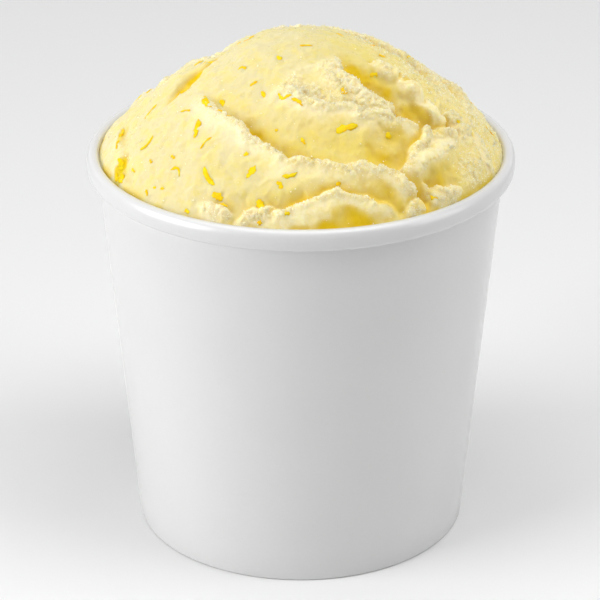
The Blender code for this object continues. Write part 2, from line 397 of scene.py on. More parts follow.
@dataclass(frozen=True)
class SorbetFinish:
    """Frozen lemon sorbet: a deeper yellow painted as shade into its hollows and creases, frosted on its
    broken edges and paler on grain tops as a painted highlight.
    """

    name: str = "lemon_sorbet_surface"
    # Painted shade: the deeper, more saturated yellow that stands in for shade in hollows, creases and faces
    # turned from the light
    painted_shade: Color = (0.76, 0.53, 0.003)
    yellow: Color = (0.83, 0.69, 0.09)
    lemon: Color = (0.82, 0.69, 0.25)
    # Paler, greyer lemon for the left and back-left, the side toward the key light: partly the smooth
    # sorbet's own tone, partly a painted lit-side tint
    soft: Color = (0.75, 0.66, 0.36)
    # Frosted ice, also used as a painted highlight on grain tops and on crests that face the light
    frost_and_highlight: Color = (1.0, 0.92, 0.68)
    grain_scale: float = 2100.0

    def build(self, grain: bpy.types.NodeTree) -> bpy.types.Material:
        """Builds the material.

        Args:
            grain: The shared ice grain group.

        Returns:
            The finished material.
        """
        material, sheet, shader = start_material(self.name, 0.42, 1.33)
        ice = place_group(sheet, grain, Scale=self.grain_scale, Coarseness=0.5)
        frost_and_highlight = sheet.add("Attribute", {"attribute_name": "frost_and_highlight"}).outputs["Fac"]
        grainy = sheet.add("Attribute", {"attribute_name": "grainy"}).outputs["Fac"]
        shade_share = sheet.add("Attribute", {"attribute_name": "shade_share"}).outputs["Fac"]
        soft = sheet.add("Attribute", {"attribute_name": "soft"}).outputs["Fac"]
        # Painted lit-side tint, partly the smooth sorbet's own tone: the soft share turns the lemon paler and
        # greyer on the left and back-left
        body = sheet.mix(soft, (*self.lemon, 1), (*self.soft, 1))
        veined = sheet.math("MULTIPLY", sheet.ramp(ice.outputs["Mottle"], 0.42, 0.66), 0.34)
        body = sheet.mix(veined, body, (*self.yellow, 1))
        # Painted shade: the deeper yellow laid in by the share of shade
        body = sheet.mix(shade_share, body, (*self.painted_shade, 1))
        speckle = sheet.math("MULTIPLY_ADD", ice.outputs["Crystal"], 0.35, 0.65)
        # Frosted ice on broken edges, partly a painted highlight on the grain tops and crests
        body = sheet.mix(sheet.math("MULTIPLY", frost_and_highlight, speckle), body, (*self.frost_and_highlight, 1))
        sheet.feed(shader.inputs["Base Color"], body)
        dull = sheet.math("MULTIPLY_ADD", ice.outputs["Crystal"], 0.25, 0.36)
        glint = sheet.math("MULTIPLY", ice.outputs["Sparkle"], -0.25)
        sheet.feed(shader.inputs["Roughness"], sheet.math("ADD", dull, glint))
        broken = sheet.math("MULTIPLY_ADD", grainy, 0.5, 0.2)
        height = sheet.math("MULTIPLY", ice.outputs["Height"], broken)
        bump = sheet.add("Bump", Strength=0.6, Distance=0.3 * MM, Height=height)
        sheet.feed(shader.inputs["Normal"], bump.outputs[0])
        shader.inputs["Specular IOR Level"].default_value = 0.2
        shader.inputs["Subsurface Weight"].default_value = 0.85
        shader.inputs["Subsurface Radius"].default_value = (1.0, 0.9, 0.4)
        shader.inputs["Subsurface Scale"].default_value = 1.4 * MM
        return material


@dataclass(frozen=True)
class CrumbFinish:
    """Clear, frosted crumbs of lemon ice."""

    name: str = "lemon_ice_crumbs"
    pale: Color = (1.0, 0.95, 0.74)
    yellow: Color = (1.0, 0.88, 0.46)

    def build(self) -> bpy.types.Material:
        """Builds the material and returns it."""
        material, sheet, shader = start_material(self.name, 0.3, 1.31)
        share = sheet.add("Attribute", {"attribute_name": "clear"}).outputs["Fac"]
        sheet.feed(shader.inputs["Base Color"], sheet.mix(share, (*self.pale, 1), (*self.yellow, 1)))
        sheet.feed(shader.inputs["Roughness"], sheet.math("MULTIPLY_ADD", share, -0.2, 0.4))
        shader.inputs["Specular IOR Level"].default_value = 0.35
        return material


@dataclass(frozen=True)
class ZestFinish:
    """Moist lemon zest, golden with a paler face here and there."""

    name: str = "lemon_zest"
    golden: Color = (0.99, 0.55, 0.003)
    bright: Color = (1.0, 0.67, 0.008)

    def build(self) -> bpy.types.Material:
        """Builds the material and returns it."""
        material, sheet, shader = start_material(self.name, 0.45, 1.4)
        place = sheet.add("TexCoord").outputs["Object"]
        mottle = sheet.add("TexNoise", Vector=place, Scale=700.0, Detail=2.0)
        share = sheet.ramp(mottle.outputs[0], 0.35, 0.65)
        sheet.feed(shader.inputs["Base Color"], sheet.mix(share, (*self.golden, 1), (*self.bright, 1)))
        shader.inputs["Specular IOR Level"].default_value = 0.15
        shader.inputs["Subsurface Weight"].default_value = 0.5
        shader.inputs["Subsurface Radius"].default_value = (1.0, 0.6, 0.05)
        shader.inputs["Subsurface Scale"].default_value = 0.5 * MM
        return material


# ------------------------------------------------------------------- studio


@dataclass
class SoftLight:
    """A square soft light that looks at the cup."""

    name: str
    place: tuple[float, float, float]
    size: float
    power: float

    def build(self, aim: Vector) -> None:
        """Adds the light, turned to the aim point."""
        data = bpy.data.lights.new(self.name, "AREA")
        data.shape = "SQUARE"
        data.size = self.size
        data.energy = self.power
        lamp = bpy.data.objects.new(self.name, data)
        bpy.context.scene.collection.objects.link(lamp)
        lamp.location = self.place
        lamp.rotation_euler = (aim - Vector(self.place)).to_track_quat("-Z", "Y").to_euler()


@dataclass
class Studio:
    """A plain pale floor, soft lights and the camera. Lengths are in metres."""

    camera_distance: float = 0.700
    camera_elevation: float = 25.15
    lens: float = 179.4
    aim: tuple[float, float, float] = (-0.0002, 0.0, 0.0532)
    floor_radius: float = 4.0
    surround: float = 1.0
    lights: tuple[SoftLight, ...] = (
        SoftLight("overhead_softbox", (0.0, 0.0, 1.36), 1.3, 13.2),
        SoftLight("left_softbox", (-1.17, -0.46, 0.39), 0.9, 15.9),
        SoftLight("front_high_softbox", (0.10, -0.45, 1.27), 0.8, 0.8),
        SoftLight("right_softbox", (1.20, -0.30, 0.39), 0.8, 4.1),
        SoftLight("right_high_softbox", (0.74, -0.28, 1.10), 0.8, 4.2),
    )

    def build_camera(self) -> None:
        """Adds the camera, looking slightly down at the cup's front."""
        data = bpy.data.cameras.new("camera")
        data.lens = self.lens
        data.clip_start = 0.01
        camera = bpy.data.objects.new("camera", data)
        bpy.context.scene.collection.objects.link(camera)
        lift = math.radians(self.camera_elevation)
        aim = Vector(self.aim)
        camera.location = aim + self.camera_distance * Vector((0, -math.cos(lift), math.sin(lift)))
        camera.rotation_euler = (aim - camera.location).to_track_quat("-Z", "Y").to_euler()
        bpy.context.scene.camera = camera

    def build_floor(self) -> None:
        """Adds a round white floor under the cup."""
        material, sheet, shader = start_material("studio_floor", 0.8, 1.45)
        place = sheet.add("TexCoord").outputs["Object"]
        cloud = sheet.add("TexNoise", Vector=place, Scale=3.0, Detail=2.0)
        color = sheet.mix(cloud.outputs[0], (0.84, 0.84, 0.84, 1), (0.86, 0.86, 0.86, 1))
        sheet.feed(shader.inputs["Base Color"], color)
        shader.inputs["Specular IOR Level"].default_value = 0.1
        rim = [(self.floor_radius * math.cos(a), self.floor_radius * math.sin(a), 0.0)
               for a in np.linspace(0, 2 * math.pi, 64, endpoint=False)]
        mesh = bpy.data.meshes.new("floor")
        mesh.from_pydata(rim, [], [tuple(range(len(rim)))])
        mesh.materials.append(material)
        floor = bpy.data.objects.new("floor", mesh)
        bpy.context.scene.collection.objects.link(floor)
        floor.location.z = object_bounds()[0][2] - 0.05 * MM
        floor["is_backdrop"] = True

    def build_world(self) -> None:
        """Sets an even pale surround."""
        world = bpy.data.worlds.new("studio")
        world.use_nodes = True
        sheet = NodeSheet(world.node_tree)
        rays = sheet.add("LightPath").outputs
        seen = sheet.math("MAXIMUM", rays["Is Camera Ray"], rays["Is Glossy Ray"])
        strength = sheet.math("MULTIPLY", seen, self.surround)
        sheet.feed(world.node_tree.nodes["Background"].inputs["Color"], (1, 1, 1, 1))
        sheet.feed(world.node_tree.nodes["Background"].inputs["Strength"], strength)
        bpy.context.scene.world = world
        bpy.context.scene.view_settings.view_transform = "Standard"

    def build(self) -> None:
        """Builds the whole studio."""
        self.build_camera()
        self.build_floor()
        self.build_world()
        for light in self.lights:
            light.build(Vector(self.aim))


# ---------------------------------------------------------------------- cup


@dataclass
class Seam:
    """The overlap where the wall's two ends are joined, running up the back of the cup."""

    angle: float = 97.0
    lift: float = 0.32
    step_width: float = 0.25
    blend_width: float = 16.0

    def raise_by(self, angles: np.ndarray, radius: float) -> np.ndarray:
        """How far the overlap lifts the paper.

        Args:
            angles: Angles about the axis, in radians.
            radius: The wall's radius there.

        Returns:
            The lift at each angle.
        """
        turn = (angles - math.radians(self.angle) + math.pi) % (2 * math.pi) - math.pi
        along = turn * radius
        step = smooth_step(-self.step_width, 0.0, along)
        ease = 1.0 - smooth_step(self.blend_width * 0.5, self.blend_width, along)
        return self.lift * step * ease

    def columns(self, count: int) -> np.ndarray:
        """Angles of the wall's columns, close together at the step.

        Args:
            count: How many even columns there are.

        Returns:
            The angles in radians, in order.
        """
        even = np.linspace(0, 2 * math.pi, count, endpoint=False)
        at_step = math.radians(self.angle) + np.array([-0.4, -0.25, -0.17, -0.08, 0.0, 0.15]) / 45.0
        clear = [a for a in even if not at_step[0] - 0.004 < a < at_step[-1] + 0.004]
        return np.sort(np.concatenate([clear, at_step]))


@dataclass
class CupShape:
    """Sizes of the paper cup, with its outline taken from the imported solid."""

    height: float
    rim_radius: float
    foot_radius: float
    taper: float = 0.09
    paper: float = 0.45
    roll_width: float = 3.1
    roll_height: float = 4.9
    roll_squareness: float = 2.4
    roll_end: float = -118.0
    fold_floor: float = 0.6
    hem_height: float = 6.4
    clearance: float = 0.3
    base_top: float = 7.15

    @classmethod
    def from_frame(cls) -> "CupShape":
        """Reads the cup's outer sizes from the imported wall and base."""
        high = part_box("cup_wall")[1]
        base_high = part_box("cup_base")[1]
        rim = high.x / MM
        height = high.z / MM
        foot = FOOT_TO_RIM * rim
        return cls(height=height, rim_radius=rim, foot_radius=foot, base_top=base_high.z / MM)

    def outer(self, height: float) -> float:
        """Radius of the wall's outer face at a height."""
        return self.foot_radius + self.taper * height

    def inner(self, height: float) -> float:
        """Radius of the wall's inner face at a height."""
        return self.outer(height) - self.paper

    def roll(self, inset: float, start: float, end: float, steps: int) -> list[tuple[float, float]]:
        """Points of the rolled rim's section, a squared-off ellipse.

        Args:
            inset: How far inside the roll's outer face the line runs.
            start: First angle in degrees, from the outward side.
            end: Last angle.
            steps: How many points.

        Returns:
            Radius and height of each point.
        """
        half_width = self.roll_width / 2 - inset
        half_height = self.roll_height / 2 - inset
        points = []
        for degrees in np.linspace(start, end, steps):
            c, s = math.cos(math.radians(degrees)), math.sin(math.radians(degrees))
            x = math.copysign(abs(c) ** (2 / self.roll_squareness), c)
            y = math.copysign(abs(s) ** (2 / self.roll_squareness), s)
            points.append((self.rim_radius - self.roll_width / 2 + half_width * x,
                           self.height - self.roll_height / 2 + half_height * y))
        return points

    def section(self) -> list[tuple[float, float]]:
        """The wall's closed section: up the outside, round the roll, down inside and round the hem."""
        roll_start = self.height - self.roll_height + self.paper
        hem_outer = -(2 * self.clearance + self.paper)
        hem_inner = hem_outer - self.paper
        corner = 0.4
        rows = [(self.outer(h), h) for h in np.linspace(corner, roll_start, 14)]
        rows += self.roll(self.paper, 180, self.roll_end, 12)
        rows += self.roll(0.0, self.roll_end, 180, 26)
        rows += [(self.inner(h), h) for h in np.linspace(roll_start - self.paper, self.fold_floor, 10)]
        rows += [(self.inner(self.fold_floor) + hem_outer, self.fold_floor)]
        rows += [(self.inner(self.hem_height) + hem_outer, self.hem_height)]
        rows += [(self.inner(self.hem_height) + hem_inner, self.hem_height)]
        bend = np.linspace(0, 90, 4)
        inside = self.inner(0) + hem_inner
        rows += [(inside + corner * (1 - math.cos(math.radians(b))), corner * (1 - math.sin(math.radians(b))))
                 for b in bend]
        outside = self.outer(0)
        for degrees in bend[:-1]:
            turn = math.radians(degrees)
            rows.append((outside - corner * (1 - math.sin(turn)), corner * (1 - math.cos(turn))))
        return rows


@dataclass
class CupWall:
    """The side wall with its rolled rim, folded hem and side seam."""

    shape: CupShape
    seam: Seam = field(default_factory=Seam)
    columns: int = 288

    def build(self, material: bpy.types.Material) -> bpy.types.Object:
        """Builds the wall.

        Args:
            material: The paper finish.

        Returns:
            The wall's object.
        """
        section = self.shape.section()
        angles = self.seam.columns(self.columns)
        count = len(angles)
        rows = []
        for radius, height in section:
            rounded = radius + self.seam.raise_by(angles, radius) * self.lifted(radius, height)
            rows.append(np.column_stack([rounded * np.cos(angles), rounded * np.sin(angles),
                                         np.full(count, height)]))
        faces = []
        for k in range(len(section)):
            faces += band_faces(k * count, ((k + 1) % len(section)) * count, count)
        wall = add_mesh("cup_wall_paper", np.vstack(rows), faces, material)
        wall.data.set_sharp_from_angle(angle=math.radians(50))
        finish_piece(wall, "coated_paper", "cup_wall")
        return wall

    def lifted(self, radius: float, height: float) -> float:
        """Share of the seam's lift at a point of the section: all of it outside, none inside."""
        if radius < self.shape.outer(height) - 0.1:
            return 0.0
        on_roll = height > self.shape.height - self.shape.roll_height - 0.5
        return 0.35 if on_roll else 1.0


@dataclass
class CupBase:
    """The recessed base: a disc whose skirt is held by the hem."""

    shape: CupShape
    columns: int = 192
    corner: float = 0.45

    def build(self, material: bpy.types.Material) -> bpy.types.Object:
        """Builds the base.

        Args:
            material: The plain board finish.

        Returns:
            The base's object.
        """
        shape = self.shape
        foot = shape.fold_floor + shape.clearance
        shoulder = shape.base_top - self.corner
        underside = shape.base_top - shape.paper
        skirt = shape.inner(shoulder) - shape.clearance
        skirt_foot = shape.inner(foot) - shape.clearance
        section = [(skirt - shape.paper - self.corner * 0.5, underside),
                   (skirt - shape.paper, underside - self.corner * 0.5),
                   (skirt_foot - shape.paper, foot), (skirt_foot, foot), (skirt, shoulder),
                   (skirt - self.corner * 0.3, shape.base_top - self.corner * 0.3),
                   (skirt - self.corner, shape.base_top)]
        angles = np.linspace(0, 2 * math.pi, self.columns, endpoint=False)
        ring = np.column_stack([np.cos(angles), np.sin(angles)])
        rows = [np.column_stack([ring * r, np.full(self.columns, h)]) for r, h in section]
        faces = []
        for k in range(len(section) - 1):
            faces += band_faces(k * self.columns, (k + 1) * self.columns, self.columns)
        last = (len(section) - 1) * self.columns
        faces.append(tuple(reversed(range(self.columns))))
        faces.append(tuple(range(last, last + self.columns)))
        base = add_mesh("cup_base_paper", np.vstack(rows), faces, material)
        base.data.set_sharp_from_angle(angle=math.radians(50))
        finish_piece(base, "base_paper", "cup_base")
        return base


# ------------------------------------------------------------------- sorbet


class NearSide(Enum):
    """How the surface comes up to a fold's crest."""

    SLOPED = "gently, from a distance"
    THICK = "to a thick, flat-topped ridge"


class FarSide(Enum):
    """How the surface rises again beyond a fold's trough."""

    SCOOPED = "hollowed smoothly, as by a scoop"
    BULGED = "steeply out of the crease, then rounded"


@dataclass(frozen=True)
class Fold:
    """One edge of a folded layer, drawn in plan. Behind its crest, on the left of its run, lies a trough.

    Each point gives a place across and along, the crest's height and the trough's depth there.
    """

    points: tuple[tuple[float, float, float, float], ...]
    rise: float = 3.0
    drop: float = 1.1
    reach: float = 5.0
    near_side: NearSide = NearSide.SLOPED
    far_side: FarSide = FarSide.BULGED
    grain: tuple[float, float] = (1.8, 0.9)

    def run(self, steps: int = 5) -> np.ndarray:
        """A smooth line through the fold's points, with the crest and trough sizes along it."""
        knots = np.array(self.points, float)
        knots = np.vstack([2 * knots[0] - knots[1], knots, 2 * knots[-1] - knots[-2]])
        line = []
        for k in range(1, len(knots) - 2):
            a, b, c, d = knots[k - 1:k + 3]
            for t in np.arange(steps) / steps:
                line.append(0.5 * (2 * b + (c - a) * t + (2 * a - 5 * b + 4 * c - d) * t ** 2
                                   + (3 * b - a - 3 * c + d) * t ** 3))
        line.append(knots[-2])
        return np.array(line)

    def nearest(self, x: np.ndarray, y: np.ndarray) -> tuple[np.ndarray, np.ndarray, np.ndarray]:
        """Signed distance from the fold's line, positive on its left, with the crest and trough there."""
        line = self.run()
        least = np.full(x.shape, np.inf)
        signed, crest, trough = np.zeros(x.shape), np.zeros(x.shape), np.zeros(x.shape)
        for start, end in zip(line[:-1], line[1:]):
            length = math.hypot(end[0] - start[0], end[1] - start[1])
            ux, uy = (end[0] - start[0]) / length, (end[1] - start[1]) / length
            dx, dy = x - start[0], y - start[1]
            t = np.clip((dx * ux + dy * uy) / length, 0.0, 1.0)
            gap = np.hypot(dx - t * length * ux, dy - t * length * uy)
            closer = gap < least
            least = np.where(closer, gap, least)
            signed = np.where(closer, np.where(ux * dy - uy * dx >= 0, gap, -gap), signed)
            crest = np.where(closer, start[2] + (end[2] - start[2]) * t, crest)
            trough = np.where(closer, start[3] + (end[3] - start[3]) * t, trough)
        return signed, np.maximum(crest, 0), np.maximum(trough, 0)

    def shape(self, x: np.ndarray, y: np.ndarray) -> list[np.ndarray]:
        """How the fold shapes the surface.

        Args:
            x: Places across.
            y: Places along.

        Returns:
            How far it raises each place, its grainy share, its pale share (frosted ice, partly a painted
            highlight on the crest) and its share of painted shade.
        """
        s, crest, trough = self.nearest(x, y)
        if self.near_side is NearSide.THICK:
            slope = crest * (1 - 0.5 * s / self.rise) * np.exp(-(s / self.rise) ** 4)
        else:
            slope = crest * np.exp(-(s / self.rise) ** 2)
        fall = crest - (crest + trough) * (1 - np.cos(np.pi * s / self.drop)) / 2
        t = np.clip((s - self.drop) / self.reach, 0, 1)
        fade = (1 - t) ** 2 if self.far_side is FarSide.BULGED else (1 + np.cos(np.pi * t)) / 2
        height = np.where(s < 0, slope, np.where(s < self.drop, fall, -trough * fade))
        strength = smooth_step(0.0, 0.7, np.maximum(crest, 0.4 * trough))
        near, far = self.grain
        grainy = np.exp(-(s / np.where(s < 0, near, far)) ** 4) * strength
        # The crest's pale band: frosted ice, partly a painted highlight where the crest faces the light
        pale = np.exp(-(s / np.where(s < 0, near + 1.8, far + 0.3)) ** 2) * strength
        # Painted shade: the trough behind the crest gets the deeper yellow, more of it where the trough is
        # deeper
        shade_share = np.where(s < 0, 0, np.where(s < self.drop, (s / self.drop) ** 2, fade ** 1.5))
        return [height, grainy, pale, shade_share * np.clip(trough / 1.8, 0, 1)]


@dataclass(frozen=True)
class Lobe:
    """A rounded lump of sorbet, or a dent: its place in plan, half length and width, turn and height."""

    x: float
    y: float
    length: float
    width: float
    turn: float
    height: float
    grain: float = 0.0
    pale: float = 0.0
    painted_shade: float = 0.0
    softness: float = 1.2
    crease: float = 0.0

    def shape(self, x: np.ndarray, y: np.ndarray) -> list[np.ndarray]:
        """How the lobe shapes the surface. A crease runs round its foot, on the left of its length.

        Args:
            x: Places across.
            y: Places along.

        Returns:
            How far it raises each place, and its grainy, pale and hollow shares.
        """
        turn = math.radians(self.turn)
        dx, dy = x - self.x, y - self.y
        along = (dx * math.cos(turn) + dy * math.sin(turn)) / self.length
        across = (dy * math.cos(turn) - dx * math.sin(turn)) / self.width
        away = np.hypot(along, across)
        near = np.clip(1 - away ** 2, 0, 1)
        foot = np.exp(-((away - 1.1) / 0.2) ** 2) * smooth_step(-0.4, 0.5, across)
        inside = smooth_step(0.0, 0.9, near)
        # Painted shade: the deeper yellow over the lobe by its own share of painted shade, and in the crease
        # round its foot
        shade_share = np.maximum(self.painted_shade * inside, np.clip(self.crease, 0, 1) * foot)
        height = self.height * near ** self.softness - self.crease * foot
        # The pale share over the lobe: frosted ice, partly a painted highlight
        return [height, self.grain * inside, self.pale * smooth_step(0.0, 0.5, near), shade_share]


THICK = NearSide.THICK

FOLDS = (
    # Upper edge of the big front layer, running round the left shoulder to the right
    Fold(((-22.9, -11.9, 0, 0), (-20.8, -16.8, 0.5, 0.5), (-18, -21, 0.7, 0.8), (-14.9, -24.1, 0.8, 0.9),
          (-12.7, -26.3, 0.9, 1.2), (-11.6, -28.9, 1, 1.8), (-9.4, -30.4, 0.9, 1.6),
          (-7.5, -31.6, 0.9, 1.2), (-6, -33.1, 0.9, 1.3), (-3.4, -34.8, 1, 1.7), (-0.8, -35, 0.9, 1.5),
          (1.5, -35.6, 0.9, 1.6), (5.1, -35.9, 0.9, 0.8), (9.4, -35.5, 0.9, 0.7),
          (13.1, -34.9, 0.9, 0.9), (15.4, -35.1, 0.9, 1.3), (18.7, -34.4, 0.9, 1.5),
          (21.3, -34.7, 0.8, 1.2), (23, -35.3, 0.9, 2), (25.3, -35, 0.9, 2.2), (25.6, -37, 0.6, 1.8),
          (25.4, -38, 0, 0.5)),
         rise=5.0, drop=1.2, reach=6.0, grain=(1.4, 0.8)),
    # Upper edge of the scooped hollow
    Fold(((-7.2, -17.7, 0, 0), (-4.6, -19.5, 0.5, 0.5), (-1.7, -20.7, 0.7, 0.6), (0.5, -22.1, 0.8, 0.6),
          (2.8, -22.8, 0.9, 0.6), (6.3, -23.4, 1, 0.8), (9.1, -22.9, 1.1, 0.8), (10.8, -22, 1.2, 0.9),
          (12.4, -23.5, 1, 0.7), (14.9, -23.2, 1.1, 0.5), (18.1, -22.4, 1.1, 0.5),
          (21.4, -21.9, 1.1, 1.5), (23.9, -20.4, 1.2, 2.4), (26, -20.4, 1.2, 2.4),
          (27.9, -20.4, 0.8, 1.8), (28.6, -21.1, 0, 0.5)),
         rise=4.5, drop=1.0, reach=4.0, grain=(1.2, 5.0)),
    # Crest from the top down the right shoulder, above the deepest trough
    Fold(((6.5, -7.7, 0, 0), (8.1, -10.2, 0.6, 0.9), (9.1, -13.9, 1, 2), (11.3, -15.5, 1.2, 2.6),
          (13.6, -16.7, 1.3, 3), (15.5, -18.2, 1.4, 3.4), (18.2, -19.3, 1.4, 3.4),
          (20.5, -19.6, 1.2, 3.2), (21.8, -21.8, 0.5, 1.5), (23, -22.1, 0, 0)),
         rise=3.5, drop=1.5, reach=6.0, grain=(5.0, 0.6)),
    # Crest of the thin lump beyond that trough, and the outermost crease of the right shoulder
    Fold(((31.3, -14.8, 0, 0.3), (31.4, -12.6, 0.6, 0.7), (32.8, -9.9, 0.9, 0.9), (34.3, -8.6, 0.9, 0.9),
          (36.4, -9.2, 0.8, 0.9), (37.6, -11.0, 0.5, 0.5), (38.4, -12.6, 0, 0)),
         rise=1.8, drop=0.9, reach=2.0, grain=(2.2, 0.7)),
    # Edge of the hollow's right end, running on as the band towards the rim
    Fold(((21.1, -32.6, 0, 0.6), (22.3, -31.4, 0.8, 1.2), (24.1, -28.6, 1.1, 1.4), (25.1, -26.4, 1.2, 1.4),
          (26.6, -23.6, 1.2, 1.3), (28.0, -20.6, 1.2, 1.3), (30.4, -18.6, 1.2, 1.2),
          (33.0, -16.4, 1.2, 1.1), (35.6, -13.4, 1.2, 1.0), (38.0, -11.0, 1.1, 0.9),
          (40.0, -12.0, 1.1, 0.8), (41.6, -14.0, 0.9, 0.8), (42.9, -15.8, 0.5, 0.5),
          (43.5, -17.6, 0, 0)),
         rise=2.2, drop=1.2, reach=3.0, grain=(1.5, 0.6)),
    # Thick ridge across the right front, falling outwards
    Fold(((34.8, -18.8, 0, 0), (33.6, -20.2, 0.9, 0.4), (31.9, -22.4, 1.5, 0.5), (29.9, -25.0, 1.8, 0.6),
          (28.2, -27.6, 1.8, 0.6), (26.6, -29.8, 1.7, 0.7), (24.6, -32.2, 1.4, 0.8),
          (22.6, -34.8, 0.9, 0.6), (21.2, -36.8, 0, 0)),
         near_side=THICK, rise=1.7, drop=3.0, reach=4.0, far_side=FarSide.SCOOPED, grain=(0.6, 0.2)),
    # Lump under the ridge's outer face
    Fold(((26.0, -33.0, 0, 0.3), (27.2, -32.6, 0.9, 1.0), (28.7, -32.5, 1.1, 1.3), (30.3, -31.6, 1.1, 1.2),
          (32.8, -29.9, 1.0, 1.0), (34.8, -28.5, 0.8, 0.7), (35.8, -28.4, 0, 0.2)),
         near_side=THICK, rise=2.6, drop=1.1, reach=2.6, grain=(2.6, 0.6)),
    # Lump in the notch by the front right rim
    Fold(((22.3, -40, 0, 0.5), (23.1, -38.9, 0.7, 1.0), (24.4, -37.6, 0.9, 1.2), (26.6, -35.8, 1.0, 1.1),
          (27.9, -35.2, 0.9, 0.7), (29.8, -34.6, 0.3, 0.3), (30.8, -34.2, 0, 0)),
         near_side=THICK, rise=2.6, drop=1.0, reach=2.0, grain=(2.6, 0.6)),
    # Folds along the front rim
    Fold(((-7.1, -45.1, 0, 0.3), (-5.3, -44.2, 0.6, 1.2), (-2.3, -43.7, 0.8, 1.5),
          (0.2, -43.3, 0.8, 1.6), (2.5, -42.2, 0.9, 1.6), (5, -41.4, 1.0, 1.7), (7.7, -40.4, 1.1, 1.7),
          (9.2, -40.7, 0.9, 1.5), (11.2, -40.8, 0.8, 1.2), (13.8, -39.8, 0.8, 1.2),
          (15.5, -40.0, 0.8, 1.3), (18.1, -39.5, 0.7, 1.4), (20, -39.8, 0.5, 1.2), (21, -40.3, 0, 0.6)),
         near_side=THICK, rise=3.0, drop=1.3, reach=2.6, grain=(0.8, 0.6)),
    Fold(((-22.7, -38.5, 0, 0), (-21.1, -38.9, 0.6, 0.6), (-18.8, -39.9, 0.8, 0.9),
          (-16.4, -40.9, 0.8, 1.0), (-15.5, -41.8, 0.4, 0.8), (-15.1, -42.5, 0, 0.4)),
         rise=2.4, drop=1.0, reach=3.0, grain=(1.4, 0.6)),
    Fold(((-13.6, -43.5, 0, 0.6), (-12.4, -42.9, 0.8, 1.1), (-10.4, -42.8, 0.9, 0.9), (-8.1, -42.9, 0.9, 0.9),
          (-5.8, -43, 0.8, 0.9), (-4, -44.2, 0.5, 0.9), (-3.2, -44.6, 0, 0.3)),
         rise=2.0, drop=1.0, reach=2.6, grain=(1.4, 0.6)),
    # Crease along the left rim
    Fold(((-41.6, -2.0, 0, 0.2), (-41.0, -6.1, 0.1, 0.7), (-40.9, -9.6, 0.1, 0.6), (-40.6, -12.6, 0.1, 0.4),
          (-40.6, -17.2, 0.1, 0.7), (-40.0, -21.2, 0.1, 0.7), (-38.8, -24.2, 0, 0.2)),
         rise=1.6, drop=0.9, reach=1.8, far_side=FarSide.SCOOPED, grain=(0.1, 0.1)),
    # Layers of the back
    Fold(((33, 2, 0, 0), (30, 9, 0.9, 1.4), (24.5, 15.5, 1.1, 2.2), (16, 20.5, 1.2, 2.4),
          (6, 22.5, 1.0, 1.6), (-4, 21.5, 0.9, 1.8), (-12, 19.5, 0.7, 1.1), (-17, 17, 0, 0)),
         rise=4.5, drop=1.2, reach=6.0, grain=(2.4, 1.0)),
    Fold(((41, 8, 0, 0), (38, 15.5, 0.9, 1.0), (31, 24.5, 1.1, 1.7), (22, 31, 1.2, 2.2),
          (10, 34.5, 1.0, 1.6), (-3, 34.8, 1.0, 1.2), (-14, 32.5, 1.1, 1.8), (-22, 28.5, 0.8, 1.3),
          (-27, 25, 0, 0)),
         rise=4.5, drop=1.2, reach=6.0, grain=(2.4, 1.0)),
    Fold(((-39.5, 9, 0, 0), (-38.5, 14.5, 0.3, 0.9), (-35, 19.5, 0.5, 1.4), (-29, 21.5, 0.5, 1.6),
          (-22, 19, 0.5, 1.4), (-15, 15.5, 0.4, 1.0), (-9, 12, 0, 0)),
         rise=3.0, drop=1.6, reach=5.0, grain=(2.0, 1.0)),
    Fold(((29, 34, 0, 0.2), (24, 36.6, 0.9, 1.1), (17, 39, 1.3, 1.3), (9, 41.2, 1.1, 1.1), (2, 43, 0, 0.3)),
         rise=2.4, drop=1.0, reach=2.6, grain=(2.0, 0.9)),
    Fold(((-12, 40, 0, 0.2), (-18, 38.6, 1.0, 1.1), (-25, 35, 1.3, 1.4), (-31, 30, 1.0, 1.1),
          (-34, 26, 0, 0.2)),
         rise=2.4, drop=1.0, reach=2.6, grain=(2.0, 0.9)),
)

